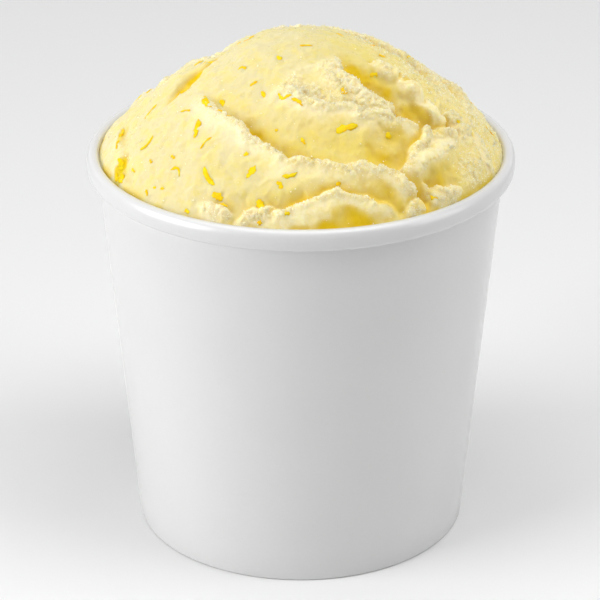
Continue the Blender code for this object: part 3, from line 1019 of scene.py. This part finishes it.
LOBES = (
    # The scooped hollow and the dent at its darkest end, both with painted shade
    Lobe(11.0, -28.5, 17.0, 6.0, -2.0, -1.0, painted_shade=0.2),
    Lobe(19.0, -29.0, 7.5, 5.0, 50.0, -1.3, painted_shade=0.65),
    # Valley between the band and the thick ridge, with a little painted shade
    Lobe(27.4, -25.4, 6.0, 1.2, 58.0, -0.3, grain=0.5, pale=0.5, painted_shade=0.1),
    # Faces that fall into the creases of the right side, with painted shade
    Lobe(15.6, -13.8, 9.5, 4.2, -30.0, -0.7, painted_shade=1.0, softness=1.2),
    Lobe(26.4, -17.2, 6.5, 2.0, -18.0, -0.2, painted_shade=0.7),
    Lobe(30.2, -28.8, 6.5, 2.2, 57.0, 0.2, painted_shade=0.5),
    Lobe(9.5, -44.7, 10.0, 2.3, 12.0, 0.0, painted_shade=1.0),
    Lobe(18.0, -38.2, 8.0, 2.8, -10.0, -0.3, painted_shade=0.6),
    # Lumps of the right shoulder: pale frosted tops, partly a painted highlight, with painted shade in the
    # creases round their feet
    Lobe(18.3, -8.4, 3.3, 2.6, -46.0, 2.2, grain=0.9, pale=0.8, softness=0.7, crease=0.7),
    Lobe(23.1, -10.8, 4.6, 2.8, -52.0, 2.9, grain=0.9, pale=0.9, softness=0.7, crease=0.8),
    Lobe(27.8, -14.3, 5.8, 3.0, -24.0, 2.3, grain=0.2, pale=0.9, softness=0.7, crease=0.7),
    Lobe(34.6, -12.2, 2.6, 2.8, -20.0, 1.5, grain=0.8, pale=0.8, softness=0.7, crease=0.8),
    Lobe(37.0, -16.4, 3.2, 4.4, -20.0, 0.8, softness=0.8),
    Lobe(31.0, -33.5, 6.0, 3.0, 35.0, 0.8, grain=0.5),
    Lobe(37.2, -22.8, 7.0, 3.2, 62.0, 1.2, grain=0.9, softness=0.9),
    # Lumps of the front
    Lobe(-17.0, -38.8, 5.0, 2.4, -20.0, 0.5),
    # Creases by the left rim, with painted shade
    Lobe(-40.8, -6.4, 4.0, 1.1, 86.0, -0.1, painted_shade=0.7),
    Lobe(-40.7, -18.4, 4.6, 1.6, 80.0, -0.2, painted_shade=1.0),
    # Groove of the upper left shoulder, running over to the back, with painted shade
    Lobe(-25.2, -4.6, 6.8, 2.0, 40.0, -1.4, painted_shade=1.0, softness=0.9),
    Lobe(-18.8, 1.6, 6.0, 1.9, 52.0, -1.1, painted_shade=0.9, softness=0.9),
    # Left shoulder: its swell beyond the groove, and the low places beside it
    Lobe(-29.5, -1.0, 8.0, 4.5, 50.0, 0.9),
    Lobe(-24.0, 16.0, 20.0, 16.0, 15.0, -2.8, softness=1.3),
    Lobe(-42.6, -11.0, 8.5, 2.4, 85.0, 0.6),
    Lobe(-18.0, -31.0, 13.0, 6.0, -40.0, 0.5),
    # Swells of the outline and of the back
    Lobe(-36.5, 15.0, 4.5, 7.0, -20.0, 0.9),
    Lobe(-26.5, 16.5, 6.0, 8.0, 0.0, 2.2),
    Lobe(-14.5, 16.0, 5.0, 9.0, 0.0, 1.1),
    Lobe(-8.8, 12.0, 3.0, 7.0, 0.0, 0.5),
    Lobe(29.0, 10.0, 16.0, 11.0, -40.0, -1.0, grain=0.8),
    Lobe(16.0, 12.0, 12.0, 8.0, 0.0, -0.6),
    Lobe(38.0, 11.0, 6.0, 8.0, 30.0, -1.8),
    Lobe(39.0, -3.0, 6.5, 4.5, 80.0, 0.2, grain=0.8),
    Lobe(-31.0, 28.0, 8.0, 5.0, 40.0, 1.2, grain=0.5),
    Lobe(12.0, 39.0, 8.0, 4.0, -10.0, 1.0, grain=0.6),
    Lobe(-7.0, 28.0, 9.0, 4.5, 5.0, 0.9),
)


@dataclass
class HeapShape:
    """The form of the heap: a smooth dome raised by folds, lobes and broken ice."""

    radius: float = 46.3
    edge_height: float = 90.3
    height: float = 29.1
    roundness: float = 1.6
    shoulder: float = 0.8
    edge_fade: float = 2.6
    lean: float = 0.75
    lump_height: float = 0.45
    lump_size: float = 9.0
    seed: int = 3

    def surface(self, x: np.ndarray, y: np.ndarray) -> list[np.ndarray]:
        """Where the surface lies over places in plan.

        Args:
            x: Places across.
            y: Places along.

        Returns:
            The surface points, and the grainy share, the pale share (partly a painted highlight), the share
            of painted shade and the soft share (partly a painted lit-side tint) of each.
        """
        radius, angle = np.hypot(x, y), np.arctan2(y, x)
        share = np.clip(radius / self.radius, 0, 1)
        z = self.edge_height + self.height * (1 - share ** self.roundness) ** self.shoulder
        dome = np.column_stack([x, y, z])
        shift = 1.0 * self.uneven(dome, 4.5, 21.0) + 0.4 * self.uneven(dome, 2.0, 22.0)
        slide = 1.0 * self.uneven(dome, 4.5, 31.0) + 0.4 * self.uneven(dome, 2.0, 32.0)
        moved_x, moved_y = x + shift, y + slide
        raised = self.uneven(dome, self.lump_size, 3.7) * self.lump_height
        grainy = 0.58 * smooth_step(6.0, 20.0, 0.8 * x + 0.6 * y + 5 * self.uneven(dome, 12.0, 9.1))
        pale = shade_share = np.zeros(x.shape)
        for feature in FOLDS + LOBES:
            height, grain, paled, shaded = feature.shape(moved_x, moved_y)
            raised = raised + height
            grainy = np.maximum(grainy, grain)
            pale = np.maximum(pale, paled)
            shade_share = np.maximum(shade_share, shaded)
        shade_share = np.clip(shade_share * (1 + 0.7 * self.uneven(dome, 3.2, 17.0)), 0, 1)
        # Painted shade: a deeper yellow along the edge where the sorbet meets the rim, broken up by
        # unevenness
        by_rim = smooth_step(self.radius - 1.4, self.radius - 0.3, radius)
        shade_share = np.maximum(shade_share, 0.8 * by_rim * smooth_step(-0.1, 0.3, self.uneven(dome, 6.0, 13.0)))
        grainy = grainy * (1 - 0.85 * smooth_step(0.15, 0.7, shade_share))
        pale = pale * (1 - 0.9 * smooth_step(0.1, 0.7, shade_share))
        # Paler, greyer lemon over the left and back-left, toward the key light: partly the smooth sorbet's
        # own tone, partly a painted lit-side tint
        soft = 1 - smooth_step(-6.0, 22.0, x - 0.35 * y + 5 * self.uneven(dome, 14.0, 5.1))
        raised = raised * np.clip((self.radius - radius) / self.edge_fade, 0, 1)
        steep = self.shoulder * self.roundness * self.height / self.radius * share ** (self.roundness - 1)
        lean = self.lean * np.arctan(steep)
        out = raised * np.sin(lean)
        across, along = x + out * np.cos(angle), y + out * np.sin(angle)
        points = np.column_stack([across, along, z + raised * np.cos(lean)])
        return [points, grainy, pale, shade_share, soft]

    def roughness(self, points: np.ndarray, grainy: np.ndarray) -> tuple[np.ndarray, np.ndarray]:
        """How far broken ice lifts each point of the surface.

        Args:
            points: Places on the surface.
            grainy: How grainy it is at each.

        Returns:
            The lifts, and how near the top of a grain each place is, from 0 to 1.
        """
        clusters = 0.8 + 0.8 * self.uneven(points, 3.5, 2.9)
        coarse, small = self.grains(points, 1.4, 2.3), self.grains(points, 0.8, 6.3)
        bits = np.random.default_rng(self.seed).random(len(points))
        grains = 0.42 * coarse * clusters + 0.28 * small + 0.2 * bits
        fine = 0.3 * self.uneven(points, 2.6, 8.5) + 0.17 * self.uneven(points, 1.2, 3.5)
        fine = fine + (0.35 + grainy) * 0.16 * self.uneven(points, 0.7, 5.5)
        fade = np.clip((self.radius - np.hypot(points[:, 0], points[:, 1])) / 1.2, 0, 1)
        tops = np.clip(0.6 * coarse * clusters + 0.4 * small + 0.3 * bits, 0, 1)
        return (grainy * grains + fine) * fade, tops

    @staticmethod
    def uneven(points: np.ndarray, size: float, seed: float) -> np.ndarray:
        """Smooth unevenness of a size, from about -1 to 1."""
        moved = (points / size + seed).tolist()
        return np.array([noise.noise(point) for point in moved])

    @staticmethod
    def grains(points: np.ndarray, size: float, seed: float) -> np.ndarray:
        """Rounded grains of a size, from 0 between them to 1 at their tops."""
        moved = (points / size + seed).tolist()
        near = np.array([noise.voronoi(point)[0][0] for point in moved])
        return np.clip(1 - near * 1.3, 0, 1) ** 0.7


@dataclass
class SorbetHeap:
    """The sorbet: its heaped top, and its side and bottom inside the cup."""

    form: HeapShape
    cup: CupShape
    rings: int = 176
    ring_power: float = 0.94
    smooth_passes: int = 4
    shoulder_height: float = 86.0

    def places(self) -> tuple[np.ndarray, np.ndarray]:
        """Plan places on a centre and rings of 6, 12, 18 and so on."""
        radii, angles = [np.zeros(1)], [np.zeros(1)]
        for k in range(1, self.rings + 1):
            radii.append(np.full(6 * k, self.form.radius * (k / self.rings) ** self.ring_power))
            angles.append(np.arange(6 * k) * (2 * math.pi / (6 * k)))
        radius, angle = np.concatenate(radii), np.concatenate(angles)
        return radius * np.cos(angle), radius * np.sin(angle)

    def faces(self) -> list[tuple[int, ...]]:
        """Near-equal triangles between the rings, sextant by sextant."""
        faces = []
        for k in range(self.rings):
            first = 1 + 3 * k * (k - 1) if k else 0
            following = 1 + 3 * (k + 1) * k
            inner_count, outer_count = max(6 * k, 1), 6 * (k + 1)
            for sextant in range(6):
                inner, outer = sextant * k, sextant * (k + 1)
                for j in range(k + 1):
                    a = first + (inner + j) % inner_count
                    b = following + (outer + j) % outer_count
                    c = following + (outer + j + 1) % outer_count
                    faces.append((a, b, c))
                    if j < k:
                        faces.append((a, c, first + (inner + j + 1) % inner_count))
        return faces

    def build(self, material: bpy.types.Material) -> bpy.types.Object:
        """Builds the sorbet.

        Args:
            material: The sorbet finish.

        Returns:
            The sorbet's object.
        """
        x, y = self.places()
        points, grainy, pale, shade_share, soft = self.form.surface(x, y)
        faces = self.faces()
        top = np.array(faces)
        points[:-6 * self.rings] = smoothed(points, top, self.smooth_passes)[:-6 * self.rings]
        lifts, tops = self.form.roughness(points, grainy)
        points = points + vertex_normals(points, top) * lifts[:, None]
        # Painted shade in the pits between the grains
        shade_share = np.maximum(shade_share, 0.6 * grainy * (1 - tops))
        # Frosted ice on grainy places and pale bands, paler on the grain tops: partly real frost, partly a
        # painted highlight
        frost_and_highlight = np.maximum(grainy * (0.06 + 0.62 * tops), 0.9 * pale * (1 - 0.8 * grainy * (1 - tops)))
        count = 6 * self.rings
        edge = len(points) - count
        angles = np.arange(count) * (2 * math.pi / count)
        rows = [points]
        total = len(points)
        for height in (self.shoulder_height, self.cup.base_top + self.cup.clearance):
            radius = self.cup.inner(height) - self.cup.clearance
            rows.append(np.column_stack([radius * np.cos(angles), radius * np.sin(angles),
                                         np.full(count, height)]))
            faces += band_faces(total, edge, count)
            edge = total
            total += count
        faces.append(tuple(reversed(range(edge, edge + count))))
        heap = add_mesh("sorbet_heap", np.vstack(rows), faces, material)
        inside = np.zeros(total - len(points))
        store_share(heap, "frost_and_highlight", np.concatenate([frost_and_highlight, inside]))
        store_share(heap, "grainy", np.concatenate([grainy, inside]))
        store_share(heap, "shade_share", np.concatenate([shade_share, inside]))
        store_share(heap, "soft", np.concatenate([soft, inside]))
        finish_piece(heap, "lemon_sorbet", "sorbet")
        return heap


@dataclass
class IceCrumbs:
    """Small broken crystals on the sorbet's crumbly edges and its grainy side, as one mesh."""

    count: int = 14000
    smallest: float = 0.24
    largest: float = 0.58
    base_share: float = 0.008
    grainy_power: float = 2.5
    size_power: float = 2.2
    lowest: float = 90.6
    seed: int = 11

    def spots(self, heap: bpy.types.Object, random: np.random.Generator) -> tuple[np.ndarray, np.ndarray]:
        """Chooses where crumbs lie: more of them where the heap is grainy.

        Args:
            heap: The finished sorbet.
            random: The source of chance.

        Returns:
            Places in millimetres and the surface's directions there.
        """
        mesh = heap.data
        count = len(mesh.polygons)
        centers, normals = np.empty(count * 3), np.empty(count * 3)
        areas, first = np.empty(count), np.empty(count, int)
        mesh.polygons.foreach_get("center", centers)
        mesh.polygons.foreach_get("normal", normals)
        mesh.polygons.foreach_get("area", areas)
        mesh.polygons.foreach_get("loop_start", first)
        corners = np.empty(len(mesh.loops), int)
        mesh.loops.foreach_get("vertex_index", corners)
        grainy = np.empty(len(mesh.vertices))
        mesh.attributes["grainy"].data.foreach_get("value", grainy)
        centers = centers.reshape(-1, 3) / MM
        normals = normals.reshape(-1, 3)
        weights = areas * (self.base_share + grainy[corners[first]] ** self.grainy_power)
        weights[(centers[:, 2] < self.lowest) | (normals[:, 2] < 0)] = 0.0
        chosen = random.choice(count, self.count, p=weights / weights.sum())
        return centers[chosen], normals[chosen]

    def build(self, heap: bpy.types.Object, material: bpy.types.Material) -> bpy.types.Object:
        """Builds the crumbs.

        Args:
            heap: The finished sorbet.
            material: The crumbs' finish.

        Returns:
            The crumbs' object.
        """
        random = np.random.default_rng(self.seed)
        places, normals = self.spots(heap, random)
        spread = random.random(self.count) ** self.size_power
        sizes = self.smallest + (self.largest - self.smallest) * spread
        corners = np.array([(1, 0, 0), (-0.5, 0.87, 0), (-0.5, -0.87, 0), (0, 0, 1), (0, 0, -1)], float)
        corners = corners * random.uniform(0.65, 1.05, (self.count, 5, 1))
        corners = corners + random.uniform(-0.18, 0.18, (self.count, 5, 3))
        corners = np.einsum("nij,nkj->nki", random_turns(self.count, random), corners)
        centers = places + normals * (sizes * random.uniform(-0.15, 0.4, self.count))[:, None]
        points = centers[:, None, :] + corners * (sizes / 2)[:, None, None]
        sides = [(0, 1, 3), (1, 2, 3), (2, 0, 3), (1, 0, 4), (2, 1, 4), (0, 2, 4)]
        faces = [(a + k, b + k, c + k) for k in range(0, 5 * self.count, 5) for a, b, c in sides]
        crumbs = add_mesh("ice_crumbs", points.reshape(-1, 3), faces, material)
        facing = unit((0.85 * normals[:, None, :] + 0.35 * corners).reshape(-1, 3))
        crumbs.data.normals_split_custom_set_from_vertices(facing.tolist())
        store_share(crumbs, "clear", np.repeat(random.random(self.count) ** 1.3, 5))
        finish_piece(crumbs, "lemon_sorbet")
        return crumbs


@dataclass(frozen=True)
class Sliver:
    """A sliver of zest: both its ends in plan, its width and its bow as a share of its length."""

    x0: float
    y0: float
    x1: float
    y1: float
    width: float
    bow: float

    def line(self, steps: int) -> np.ndarray:
        """Places along its middle, from end to end."""
        t = np.linspace(0, 1, steps)
        across, along = self.x1 - self.x0, self.y1 - self.y0
        side = 4 * self.bow * t * (1 - t)
        return np.column_stack([self.x0 + across * t - along * side, self.y0 + along * t + across * side])


# Slivers of the front: both ends across and along, width, and bow as a share of the length
SLIVERS = (
    Sliver(-0.5, -5.5, 2.7, -5.5, 0.7, 0.1), Sliver(-5.3, -8.8, -4.5, -10.4, 0.87, 0),
    Sliver(-14, -10.4, -12.4, -10.6, 0.78, 0.5), Sliver(-11.2, -16.4, -9.6, -15.6, 0.87, 0),
    Sliver(-8.8, -18.5, -8, -20.7, 0.87, 0.1), Sliver(-4.9, -20.5, -3.5, -22.3, 0.65, -0.1),
    Sliver(-3.7, -22.5, -1.9, -21.5, 0.65, 0.2), Sliver(-2.3, -22.3, 0.3, -24.1, 0.74, 0.15),
    Sliver(-21.3, -14.4, -19.5, -19.3, 0.87, -0.1), Sliver(-18.1, -17.1, -17.3, -19.3, 0.87, 0.1),
    Sliver(-18.5, -20.9, -17.1, -21.9, 0.65, 0), Sliver(-16.6, -22.7, -15.2, -23.9, 0.87, 0),
    Sliver(-26.9, -15.4, -24.5, -17.1, 0.57, 0.15), Sliver(-22.5, -20.5, -23.3, -24.9, 1.17, 0.05),
    Sliver(-19.3, -27.1, -21.9, -28.6, 0.65, -0.15), Sliver(-32.2, -6.2, -35, -8.8, 0.65, -0.1),
    Sliver(-32.8, -17.1, -35.8, -18.3, 0.65, 0.25), Sliver(-12.4, -33.2, -11.2, -33, 0.87, 0),
    Sliver(-20.9, -32, -18.3, -36.6, 0.87, -0.12), Sliver(-9.8, -35.4, -11.8, -37.2, 1.09, 0.1),
    Sliver(-28.8, -28.6, -26.7, -31, 0.65, 0.3), Sliver(-19.3, -37.8, -17.1, -39.4, 1.17, 0.1),
    Sliver(-17.7, -39.8, -15.8, -40.5, 0.65, 0), Sliver(-4.3, -38.2, -0.7, -37.6, 0.65, -0.1),
    Sliver(-5.3, -39.2, -4.3, -40.3, 0.87, 0.35), Sliver(-9.4, -40.9, -8, -42.7, 1.3, 0),
    Sliver(-28.6, -25.3, -27.7, -26.7, 0.65, 0), Sliver(-33.2, -23.1, -32.8, -24.3, 0.57, 0),
    Sliver(-37.4, -21.3, -36.6, -22.9, 0.52, 0), Sliver(-32.6, -29.2, -31.8, -30, 0.52, 0),
    Sliver(-30.8, -30.6, -30, -31.4, 0.52, 0), Sliver(7.8, -28.6, 12.4, -26.3, 1.3, 0.05),
    Sliver(19.1, -25.1, 19.7, -26.1, 1.09, 0), Sliver(17.5, -0.1, 19.1, -0.1, 1.3, 0),
    Sliver(15.4, -10.4, 17, -10.6, 1.09, 0), Sliver(24.7, -12.4, 26.3, -9.3, 1.09, 0.1),
    Sliver(26, -10.4, 26.9, -8.6, 0.87, 0), Sliver(7.6, -38.6, 8.6, -38.4, 0.87, 0),
    Sliver(28.3, -33.6, 29.6, -33.8, 1.09, 0), Sliver(-9.4, -44.5, -8.4, -44.3, 0.87, 0),
    Sliver(-34.4, -28.4, -33.8, -30, 0.65, 0.1), Sliver(-25.3, -37.4, -24.1, -38.4, 0.78, 0),
    Sliver(0.1, -30.2, 0.9, -31.6, 0.65, 0), Sliver(-5.7, -28.1, -5.1, -28.6, 0.57, 0),
    Sliver(34.2, -11.4, 35.6, -11.8, 1.09, 0), Sliver(-3.9, -44.1, -2.3, -44.1, 0.78, 0),
    Sliver(8.8, -18.1, 9.6, -19.5, 0.96, 0.1), Sliver(-40.7, -3.0, -40.9, -7.2, 0.8, 0.06),
    Sliver(-40.8, -8.0, -41.2, -11.2, 0.65, -0.1), Sliver(-40.9, -14.6, -40.3, -18.0, 1.1, 0.1),
    Sliver(-41.2, -17.6, -40.2, -20.4, 0.87, -0.15), Sliver(-40.1, -18.8, -39.6, -22.0, 1.2, -0.05),
)


@dataclass
class ZestSlivers:
    """Slivers of lemon zest half sunk in the sorbet, as one mesh."""

    form: HeapShape
    steps: int = 9
    thickness: float = 0.2
    lift: float = -0.05
    fullness: float = 1.2
    raggedness: float = 0.4
    slope_reach: float = 0.7
    scatter_radius: float = 44.0
    back_count: int = 55
    seed: int = 5

    def all_slivers(self) -> list[Sliver]:
        """The slivers of the front, and as many again scattered over the rest."""
        random = np.random.default_rng(self.seed)
        slivers = list(SLIVERS)
        while len(slivers) < len(SLIVERS) + self.back_count:
            radius = self.scatter_radius * math.sqrt(random.random())
            angle = random.uniform(-0.25, math.pi + 0.25)
            x, y = radius * math.cos(angle), radius * math.sin(angle)
            if y > 5.0 - 0.15 * abs(x):
                half, turn = random.choice([0.5, 0.9, 1.3, 1.9]), random.uniform(0, math.pi)
                across, along = half * math.cos(turn), half * math.sin(turn)
                slivers.append(Sliver(x - across, y - along, x + across, y + along,
                                      random.uniform(0.6, 1.1), random.uniform(-0.25, 0.25)))
        return slivers

    def build(self, heap: bpy.types.Object, material: bpy.types.Material) -> bpy.types.Object:
        """Builds the slivers.

        Args:
            heap: The finished sorbet.
            material: The zest finish.

        Returns:
            The slivers' object.
        """
        slivers = self.all_slivers()
        plan = np.vstack([sliver.line(self.steps) for sliver in slivers])
        reach = self.slope_reach
        middle = self.form.surface(plan[:, 0], plan[:, 1])[0]
        east = self.form.surface(plan[:, 0] + reach, plan[:, 1])[0]
        west = self.form.surface(plan[:, 0] - reach, plan[:, 1])[0]
        north = self.form.surface(plan[:, 0], plan[:, 1] + reach)[0]
        south = self.form.surface(plan[:, 0], plan[:, 1] - reach)[0]
        up = unit(np.cross(east - west, north - south))
        middle = (2 * middle + east + west + north + south) / 6
        middle = middle + up * self.cover(heap, middle, up)[:, None]
        random = np.random.default_rng(self.seed)
        vertices, faces = [], []
        for k, sliver in enumerate(slivers):
            rows = slice(k * self.steps, (k + 1) * self.steps)
            uneven = random.uniform(1 - self.raggedness, 1 + 1.4 * self.raggedness, self.steps)
            widths = sliver.width * self.fullness * uneven
            points, faces_here = self.strip(middle[rows], up[rows], widths, len(vertices) * self.row_size())
            vertices.append(points)
            faces += faces_here
        zest = add_mesh("zest_slivers", np.vstack(vertices), faces, material)
        finish_piece(zest, "lemon_sorbet")
        return zest

    def cover(self, heap: bpy.types.Object, middle: np.ndarray, up: np.ndarray) -> np.ndarray:
        """How high the broken surface stands over each point of the slivers' middle lines.

        Args:
            heap: The finished sorbet.
            middle: Points of the middle lines.
            up: The surface's direction at each.

        Returns:
            The heights, evened out along each sliver.
        """
        places = np.empty(3 * len(heap.data.vertices))
        heap.data.vertices.foreach_get("co", places)
        places = places.reshape(-1, 3) / MM
        heights = []
        for point, direction in zip(middle, up):
            around = places[np.abs(places - point).max(axis=1) < 0.5]
            heights.append(np.quantile((around - point) @ direction, 0.8) if len(around) else 0.0)
        rows = np.array(heights).reshape(-1, self.steps)
        ends = np.pad(rows, ((0, 0), (1, 1)), mode="edge")
        return ((ends[:, :-2] + ends[:, 1:-1] + ends[:, 2:]) / 3).ravel()

    def row_size(self) -> int:
        """Vertices of one sliver."""
        return 6 * self.steps

    def strip(
        self, line: np.ndarray, up: np.ndarray, widths: np.ndarray, first: int
    ) -> tuple[np.ndarray, list]:
        """One sliver's vertices and faces: a flat bar with tapered ends.

        Args:
            line: Points along its middle.
            up: The surface's direction at each point.
            widths: Its full width at each.
            first: Index of its first vertex.

        Returns:
            Its vertices, row by row, and its faces.
        """
        along = unit(np.gradient(line, axis=0))
        side = unit(np.cross(up, along))
        t = np.linspace(-1, 1, self.steps)
        share = np.clip(1 - t ** 4, 0.04, 1) ** 0.5
        loop = [(1.0, 0.0), (0.55, 0.5), (-0.55, 0.5), (-1.0, 0.0), (-0.55, -0.5), (0.55, -0.5)]
        rows = []
        for s, u in loop:
            rows.append(line + up * self.lift + side * (s * widths / 2 * share)[:, None]
                        + up * (u * self.thickness * share)[:, None])
        points = np.stack(rows, axis=1).reshape(-1, 3)
        faces = []
        for k in range(self.steps - 1):
            faces += band_faces(first + 6 * k, first + 6 * (k + 1), 6)
        faces.append(tuple(reversed(range(first, first + 6))))
        faces.append(tuple(range(first + 6 * (self.steps - 1), first + 6 * self.steps)))
        return points, faces


def main() -> None:
    """Builds the pieces in order, from the cup to the toppings."""
    logging.basicConfig(level=logging.INFO, format="%(name)s: %(message)s")
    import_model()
    Studio().build()
    fibre = paper_fibre_group()
    grain = ice_grain_group()
    coated = PaperFinish("coated_board", (0.665, 0.665, 0.665), (0.65, 0.65, 0.65), 0.34, 900.0, 0.25, 0.9)
    board = coated.build(fibre)
    plain = PaperFinish("plain_board", (0.80, 0.80, 0.79), (0.76, 0.76, 0.75), 0.62, 700.0, 0.4).build(fibre)
    sorbet = SorbetFinish().build(grain)
    cup = CupShape.from_frame()
    CupWall(cup).build(board)
    CupBase(cup).build(plain)
    form = HeapShape()
    heap = SorbetHeap(form, cup).build(sorbet)
    IceCrumbs().build(heap, CrumbFinish().build())
    ZestSlivers(form).build(heap, ZestFinish().build())


if __name__ == "__main__":
    main()
